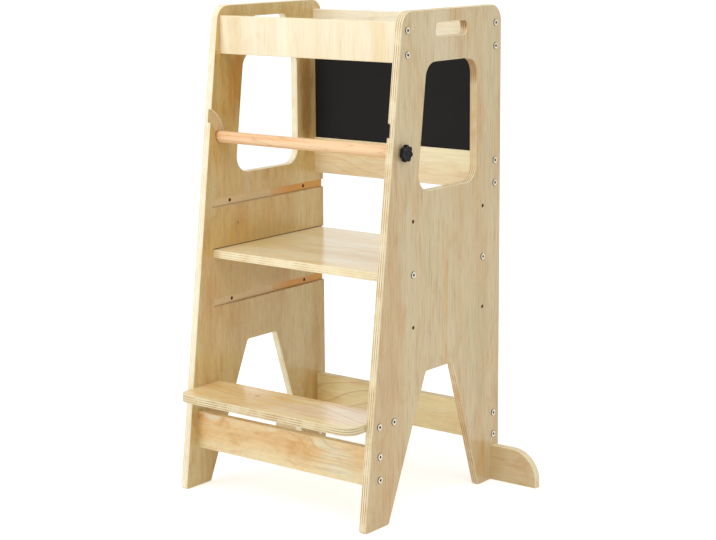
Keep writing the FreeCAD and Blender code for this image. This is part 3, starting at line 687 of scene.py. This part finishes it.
def make_foot_screws(metal):
    """Two screws hold each anti-tip foot, from the inside of its panel's rear leg."""
    for side in ("right", "left"):
        panel_low, panel_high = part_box(side + "_side_panel")
        foot_low, foot_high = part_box(side + "_anti_tip_foot")
        inner = panel_low.x if side == "right" else panel_high.x
        turn = Matrix.Identity(4) if side == "right" else TURN_BACK
        y = (foot_low.y + foot_high.y) / 2
        places = [Matrix.Translation((inner, y, SCREW_LOW + row * SCREW_PITCH)) @ turn
                  for row in range(SCREWS_EACH)]
        piece(side + "_foot_screws", copies(screw_head(), places), "tower", metal, "zinc_steel")


# ------------------------------------------------------------------ safety rail and its clamp
RAIL_STEPS = 64
RAIL_END_ROUND = 3.0 * MM
RAIL_ROUND_STEPS = 5

KNOB_LOBES = 7
KNOB_STEPS = KNOB_LOBES * 16
KNOB_BITE = 3.0 * MM
KNOB_VALLEY = 1.4
KNOB_ROUND = 1.3 * MM
KNOB_ROUND_STEPS = 4
KNOB_LIP = 1.2 * MM
DISH_SLOPE = 0.8 * MM
DISH_DEPTH = 0.5 * MM
HUB_HEIGHT = 2.0 * MM
HUB_RADIUS = 7.5 * MM
HUB_OVERLAP = 1.0 * MM
HUB_STEPS = 40
BOSS_RADIUS = 5.2 * MM
BOSS_TAPER = 0.6 * MM
BOSS_HEIGHT = 2.0 * MM

THREAD_PITCH = 1.0 * MM
THREAD_DEPTH = 0.55 * MM
THREAD_STEPS = 24
CORE_OVERLAP = 0.05 * MM
CORE_CHAMFER = 0.25 * MM
CORE_POINT = 0.3 * MM


def make_safety_rail(wood):
    """The round rail, with its ends rounded over."""
    low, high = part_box("safety_rail")
    radius = (high.z - low.z) / 2
    bm = bmesh.new()
    bmesh.ops.create_cone(bm, cap_ends=True, segments=RAIL_STEPS, radius1=radius, radius2=radius,
                          depth=high.x - low.x, matrix=LIE_ALONG_X)
    ends = ring_edges(bm, high.x, radius) + ring_edges(bm, low.x, radius)
    round_over(bm, ends, RAIL_END_ROUND, RAIL_ROUND_STEPS)
    bmesh.ops.translate(bm, verts=bm.verts, vec=(low + high) / 2)
    piece("turned_safety_rail", bm, "rail", wood, "rail_wood", "safety_rail")


def make_knob(plastic):
    """A star knob: lobed rim, rounded edges, a shallow dish and a boss in its middle."""
    low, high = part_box("clamp_knob")
    middle = (low + high) / 2
    radius = (high.z - low.z) / 2
    bm = bmesh.new()
    base = bmesh.ops.create_circle(bm, cap_ends=True, segments=KNOB_STEPS, radius=radius,
                                   matrix=LIE_ALONG_X)
    for vert in base["verts"]:
        angle = math.atan2(vert.co.y, vert.co.z)
        valley = (0.5 - 0.5 * math.cos(KNOB_LOBES * angle)) ** KNOB_VALLEY
        share = 1.0 - KNOB_BITE / radius * valley
        vert.co.y *= share
        vert.co.z *= share
    bmesh.ops.translate(bm, verts=bm.verts, vec=(low.x + HUB_HEIGHT, 0, 0))
    raised = bmesh.ops.extrude_face_region(bm, geom=bm.faces[:])["geom"]
    bmesh.ops.translate(bm, verts=verts_of(raised), vec=(high.x - low.x - HUB_HEIGHT, 0, 0))
    rims = [edge for edge in bm.edges if abs(edge.verts[0].co.x - edge.verts[1].co.x) < SAME_VERT]
    round_over(bm, rims, KNOB_ROUND, KNOB_ROUND_STEPS)
    front = max(bm.faces, key=lambda face: face.calc_center_median().x)
    bmesh.ops.inset_region(bm, faces=[front], thickness=KNOB_LIP, depth=0.0)
    bmesh.ops.inset_region(bm, faces=[front], thickness=DISH_SLOPE, depth=-DISH_DEPTH)
    hub_long = HUB_HEIGHT + HUB_OVERLAP
    hub = bmesh.ops.create_cone(bm, cap_ends=True, segments=HUB_STEPS, radius1=HUB_RADIUS,
                                radius2=HUB_RADIUS, depth=hub_long, matrix=LIE_ALONG_X)
    bmesh.ops.translate(bm, verts=hub["verts"], vec=(low.x + hub_long / 2, 0, 0))
    boss = bmesh.ops.create_cone(bm, cap_ends=True, segments=HUB_STEPS, radius1=BOSS_RADIUS,
                                 radius2=BOSS_RADIUS - BOSS_TAPER, depth=BOSS_HEIGHT,
                                 matrix=LIE_ALONG_X)
    bmesh.ops.translate(bm, verts=boss["verts"], vec=(high.x - BOSS_HEIGHT / 2, 0, 0))
    bmesh.ops.translate(bm, verts=bm.verts, vec=(0, middle.y, middle.z))
    piece("star_knob", bm, "clamp_grip", plastic, "black_plastic", "clamp_knob")


def make_stud(metal):
    """The clamp's threaded stud: one tooth of the thread swept along a helix, on a round core."""
    low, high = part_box("clamp_stud")
    middle = (low + high) / 2
    crest = (high.z - low.z) / 2
    root = crest - THREAD_DEPTH
    bm = bmesh.new()
    tooth = [(share * THREAD_PITCH, radius)
             for share, radius in ((0.12, root), (0.44, crest), (0.56, crest), (0.88, root))]
    verts = [bm.verts.new((x, 0.0, radius)) for x, radius in tooth]
    edges = [bm.edges.new(pair) for pair in zip(verts, verts[1:] + verts[:1])]
    turns = math.floor((high.x - low.x) / THREAD_PITCH) - 1
    swept = bmesh.ops.spin(bm, geom=verts + edges, axis=(1, 0, 0), cent=(0, 0, 0),
                           angle=math.tau * turns, steps=THREAD_STEPS * turns,
                           dvec=(THREAD_PITCH / THREAD_STEPS, 0, 0), use_merge=False)
    bmesh.ops.contextual_create(bm, geom=edges)
    bmesh.ops.contextual_create(bm, geom=edges_of(swept["geom_last"]))
    bmesh.ops.translate(bm, verts=bm.verts, vec=(low.x, 0, 0))
    core = root + CORE_OVERLAP
    turned_shape(bm, [(low.x, 0.0), (low.x, core - CORE_CHAMFER), (low.x + CORE_POINT, core),
                      (high.x, core), (high.x, 0.0)], THREAD_STEPS)
    bmesh.ops.translate(bm, verts=bm.verts, vec=(0, middle.y, middle.z))
    piece("threaded_stud", bm, "clamp_screw", metal, "zinc_steel", "clamp_stud")


# ------------------------------------------------------------------ finishes of the wooden nodes
# Veneers, each in its pale, middle and warm tone.
CREAM = (tone(252, 241, 212), tone(249, 234, 200), tone(242, 221, 178))
BEIGE = (tone(228, 210, 169), tone(226, 204, 160), tone(222, 193, 145))
BLOND = (tone(255, 252, 234), tone(254, 247, 223), tone(251, 238, 206))
BUTTER = (tone(255, 247, 206), tone(255, 240, 190), tone(252, 229, 168))
TAN = (tone(226, 206, 150), tone(220, 191, 128), tone(211, 176, 106))
STRAW = (tone(254, 243, 210), tone(251, 234, 190), tone(245, 218, 164))
GOLDEN = (tone(250, 233, 190), tone(243, 215, 160), tone(232, 190, 126))
HONEY = (tone(252, 240, 204), tone(247, 226, 178), tone(238, 202, 142))

# The pale plies on cut edges, each in its two colours.
RIGHT_EDGE = (tone(241, 227, 189), tone(232, 208, 160))
LEFT_EDGE = (tone(253, 245, 216), tone(249, 232, 194))
TOP_BACK_EDGE = (tone(255, 248, 228), tone(251, 236, 206))
STEP_EDGE = (tone(234, 220, 180), tone(222, 196, 148))

# Stains, and a painted sheen for the step.
ORANGE = tone(206, 146, 72)
AMBER = tone(226, 186, 122)
BROWN = tone(166, 118, 64)
BISCUIT = tone(204, 166, 112)
CARAMEL = tone(204, 170, 106)
FLAX = tone(204, 174, 112)
OCHRE = tone(214, 176, 98)
OLIVE = tone(224, 201, 146)
SAGE = tone(210, 198, 150)
ASH = tone(238, 230, 196)
FAWN = tone(229, 211, 171)
SAND = tone(232, 217, 180)
WHEAT = tone(234, 214, 166)
IVORY = tone(255, 249, 212)
VANILLA = tone(255, 248, 216)
LEMON = tone(255, 238, 168)
# A painted sheen: the white background's reflection painted on as a pale tone.
PAINTED_SHEEN = tone(252, 240, 222)

# The ply that the grooves lay open, before and behind the joint between its two strips.
BARE_FRONT = tone(230, 202, 150)
BARE_REAR = tone(226, 163, 46)
BARE_MEETING = 62.0 * MM

# Each stain's and each painted sheen's place along and across the grain, half length and half
# width, in metres, its tone and its strength.
RIGHT_STAINS = (
    (0.40, 0.045, 0.13, 0.009, AMBER, 0.7),
    (0.28, 0.042, 0.05, 0.012, AMBER, 0.6),
    (0.85, 0.115, 0.035, 0.006, AMBER, 0.7),
    (0.06, 0.164, 0.06, 0.014, AMBER, 0.6),
    (0.72, 0.186, 0.20, 0.018, SAGE, 0.5),
    (0.30, 0.150, 0.18, 0.045, SAGE, 0.4),
    (0.47, -0.005, 0.12, 0.012, SAGE, 0.35),
    (0.86, 0.02, 0.10, 0.05, SAND, 0.6),
    (0.82, 0.060, 0.07, 0.04, FAWN, 0.8))
RIGHT_EDGE_STAINS = (
    (0.13, 0.110, 0.160, 0.080, ORANGE, 0.45),
    (0.790, 0.139, 0.040, 0.040, BROWN, 0.65),
    (0.690, 0.139, 0.140, 0.040, BISCUIT, 0.55),
    (0.873, 0.112, 0.012, 0.014, BROWN, 0.7))
LEFT_STAINS = (
    (0.490, -0.030, 0.050, 0.035, ORANGE, 0.5),
    (0.75, -0.025, 0.100, 0.045, ORANGE, 0.7),
    (0.70, 0.170, 0.130, 0.030, BROWN, 0.75),
    (0.36, -0.115, 0.070, 0.030, ORANGE, 0.45),
    (0.55, -0.110, 0.080, 0.018, SAGE, 0.5),
    (0.46, 0.020, 0.100, 0.160, OCHRE, 0.5),
    (0.22, 0.040, 0.260, 0.220, OLIVE, 0.85),
    (0.38, 0.050, 0.040, 0.100, CARAMEL, 0.5),
    (0.45, 0.070, 0.050, 0.080, FLAX, 0.5),
    (0.24, 0.120, 0.140, 0.060, WHEAT, 0.6))
TOP_BACK_STAINS = (
    (0.175, 0.855, 0.060, 0.045, STRAW[1], 0.8),)
LOWER_BACK_STAINS = (
    (0.150, 0.635, 0.160, 0.080, IVORY, 0.9),
    (-0.100, 0.635, 0.160, 0.080, STRAW[2], 0.8))
PLATFORM_STAINS = (
    (-0.100, 0.0, 0.180, 0.140, VANILLA, 0.5),
    (-0.190, 0.0, 0.090, 0.130, LEMON, 0.5))
# Painted sheen: the reflection of the white background, painted towards the right end of the step's
# top.
STEP_PAINTED_SHEEN = (
    (0.155, -0.150, 0.110, 0.070, PAINTED_SHEEN, 0.75),
    (0.055, -0.160, 0.090, 0.060, PAINTED_SHEEN, 0.45))
FRONT_CROSS_STAINS = (
    (-0.166, 0.140, 0.024, 0.010, ASH, 0.8),
    (-0.024, 0.141, 0.014, 0.006, ASH, 0.6),
    (0.118, 0.116, 0.046, 0.020, ASH, 0.75),
    (0.092, 0.136, 0.030, 0.010, ASH, 0.8),
    (0.145, 0.094, 0.034, 0.012, ASH, 0.7),
    (-0.100, 0.113, 0.050, 0.012, AMBER, 0.4),
    (0.150, 0.100, 0.080, 0.040, ASH, 0.4))

# Each knot's place along and across the grain, and its size, in metres.
LEFT_KNOTS = (
    (0.489, -0.040, 0.0022),
    (0.700, 0.130, 0.0018))
STEP_KNOTS = (
    (-0.070, -0.146, 0.0035),)

# The way from one platform level to the next, half a groove's height, and how far past the
# grooves' floors the lines of painted shade at their lips count as inside.
LEVEL_PITCH = 95.0 * MM
GROOVE_HALF = 7.8 * MM
LIP_SHADE_MARGIN = 1.0 * MM


def bolted_spots():
    """The (height, y) of every bolt in a panel."""
    nodes = [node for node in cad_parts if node.endswith("_bolts")]
    return [(z, y) for node in nodes for y, z in bolt_spots(node)]


def used_level():
    """The height of the platform's middle."""
    low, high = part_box("platform_bolts")
    return (low.z + high.z) / 2


def open_bores():
    """The (height, y) of the panels' empty bolt holes, at the two unused platform levels."""
    heights = (used_level() - LEVEL_PITCH, used_level() + LEVEL_PITCH)
    return [(height, y) for height in heights for y, z in bolt_spots("platform_bolts")]


def groove_marks():
    """What the panels' grooves show: the two tones of the bare ply and where they meet, where the
    grooves end, how far from the middle of the tower they reach, and the height, strength and
    half width of each lip's line of painted shade."""
    low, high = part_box("platform")
    level = used_level()
    # Painted shade lines: weak ones at the lower lips of the two empty grooves, and a strong one at
    # the upper lip of the platform's groove, over the gap above the platform.
    lips = ((level - LEVEL_PITCH - GROOVE_HALF, 0.4, 0.8 * MM),
            (level + GROOVE_HALF, 1.0, 1.4 * MM),
            (level + LEVEL_PITCH - GROOVE_HALF, 0.4, 0.8 * MM))
    return dict(front=BARE_FRONT, rear=BARE_REAR, meeting=BARE_MEETING, end=low.y,
                reach=high.x + LIP_SHADE_MARGIN, lips=lips)


def wooden_looks():
    """The look of every wooden node."""
    panel = dict(grain="Z", layers="X", figure=0.12, ring=0.03, upper_only=True,
                 bores=open_bores(), bolted=bolted_spots(), routed=groove_marks())
    upright = dict(grain="X", layers="Y")
    level = dict(grain="X", layers="Z")
    return {
        "right_side_panel": dict(
            panel, seed=1.7, tones=BEIGE, cloud=0.35, pores=0.6, seam=1.0, edge=RIGHT_EDGE,
            stains_and_sheen=RIGHT_STAINS, edge_stains=RIGHT_EDGE_STAINS),
        "left_side_panel": dict(
            panel, seed=5.2, tones=TAN, cloud=0.6, mottle=0.6, seam=0.4, edge=LEFT_EDGE,
            stains_and_sheen=LEFT_STAINS, knots=LEFT_KNOTS),
        "top_front_rail": dict(
            grain="Z", layers="Y", seed=9.1, tones=CREAM, figure=0.03, cloud=0.2, mottle=0.15,
            pores=0.1),
        "top_back_rail": dict(
            upright, seed=12.4, tones=BLOND, figure=0.08, cloud=0.25, pores=0.2,
            edge=TOP_BACK_EDGE, stains_and_sheen=TOP_BACK_STAINS),
        "lower_back_rail": dict(
            upright, seed=15.8, tones=CREAM, figure=0.15, cloud=0.3, pores=0.2,
            stains_and_sheen=LOWER_BACK_STAINS),
        "front_cross_board": dict(
            upright, seed=18.3, tones=HONEY, figure=0.34, ring=0.03, bend=20.0, cloud=0.65,
            mottle=0.6, pores=0.2, stains_and_sheen=FRONT_CROSS_STAINS),
        "rear_cross_board": dict(
            upright, seed=22.9, tones=BUTTER, figure=0.45, ring=0.04, late=0.85, cloud=0.3,
            pores=0.2),
        "platform": dict(
            level, seed=26.5, tones=STRAW, figure=0.12, ring=0.035, cloud=0.3, pores=0.3,
            seam=0.6, stains_and_sheen=PLATFORM_STAINS),
        "front_step": dict(
            level, seed=31.6, tones=GOLDEN, figure=0.36, ring=0.026, bend=12.0, pores=0.2,
            seam=0.95, edge=STEP_EDGE, stains_and_sheen=STEP_PAINTED_SHEEN, knots=STEP_KNOTS),
        "right_anti_tip_foot": dict(upright, seed=35.0, tones=BEIGE, figure=0.25, pores=0.2),
        "left_anti_tip_foot": dict(upright, seed=38.7, tones=BEIGE, figure=0.25, pores=0.2),
    }


def finish_node(node, material):
    """Gives every material slot of a CAD node's object one material."""
    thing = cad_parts[node]
    if not thing.data.materials:
        thing.data.materials.append(material)
    for index in range(len(thing.material_slots)):
        thing.material_slots[index].material = material


# ------------------------------------------------------------------ surroundings
def make_floor():
    """A white floor that keeps the object's shadow and shows as white to the camera."""
    bm = bmesh.new()
    bmesh.ops.create_grid(bm, x_segments=1, y_segments=1, size=FLOOR_REACH)
    mesh = bpy.data.meshes.new("floor")
    bm.to_mesh(mesh)
    bm.free()
    floor = bpy.data.objects.new("floor", mesh)
    bpy.context.scene.collection.objects.link(floor)
    paint = Recipe("floor_paint")
    paint.surface("Base Color", (FLOOR_GREY, FLOOR_GREY, FLOOR_GREY, 1.0))
    paint.surface("Roughness", 0.9)
    paint.surface("Emission Color", (1.0, 1.0, 1.0, 1.0))
    rays = paint.add("LightPath").outputs
    mirrored = paint.math("MAXIMUM", rays["Is Glossy Ray"], rays["Is Transmission Ray"])
    seen = paint.math("MAXIMUM", rays["Is Camera Ray"], mirrored)
    paint.surface("Emission Strength", paint.math("MULTIPLY", seen, FLOOR_LIFT))
    mesh.materials.append(paint.material)


def make_sky():
    """Even white daylight that the camera and reflections see as plain white."""
    world = bpy.data.worlds.new("daylight")
    world.use_nodes = True
    tree = world.node_tree
    background = tree.nodes["Background"]
    background.inputs["Color"].default_value = (1.0, 1.0, 1.0, 1.0)
    rays = tree.nodes.new("ShaderNodeLightPath").outputs
    mirrored = tree.nodes.new("ShaderNodeMath")
    mirrored.operation = "MAXIMUM"
    tree.links.new(rays["Is Glossy Ray"], mirrored.inputs[0])
    tree.links.new(rays["Is Transmission Ray"], mirrored.inputs[1])
    seen = tree.nodes.new("ShaderNodeMath")
    seen.operation = "MAXIMUM"
    tree.links.new(rays["Is Camera Ray"], seen.inputs[0])
    tree.links.new(mirrored.outputs[0], seen.inputs[1])
    strength = tree.nodes.new("ShaderNodeMapRange")
    strength.inputs["To Min"].default_value = DAYLIGHT
    strength.inputs["To Max"].default_value = 1.0
    tree.links.new(seen.outputs[0], strength.inputs["Value"])
    tree.links.new(strength.outputs["Result"], background.inputs["Strength"])
    bpy.context.scene.world = world


make_camera()
make_floor()
make_sky()
for lamp in LAMPS:
    make_lamp(*lamp)
bpy.context.scene.view_settings.view_transform = "Standard"

for node, look in wooden_looks().items():
    finish_node(node, plywood(node, **look))
finish_node("blackboard_panel", writing_paint())
fastener_plate = zinc_plate("fastener_plate", recessed=True)
make_bolts(fastener_plate)
make_foot_screws(fastener_plate)
make_safety_rail(dowel_wood())
make_knob(moulded_plastic())
stud_plate = zinc_plate("stud_plate", recessed=False)
finish_node("clamp_insert", stud_plate)
make_stud(stud_plate)
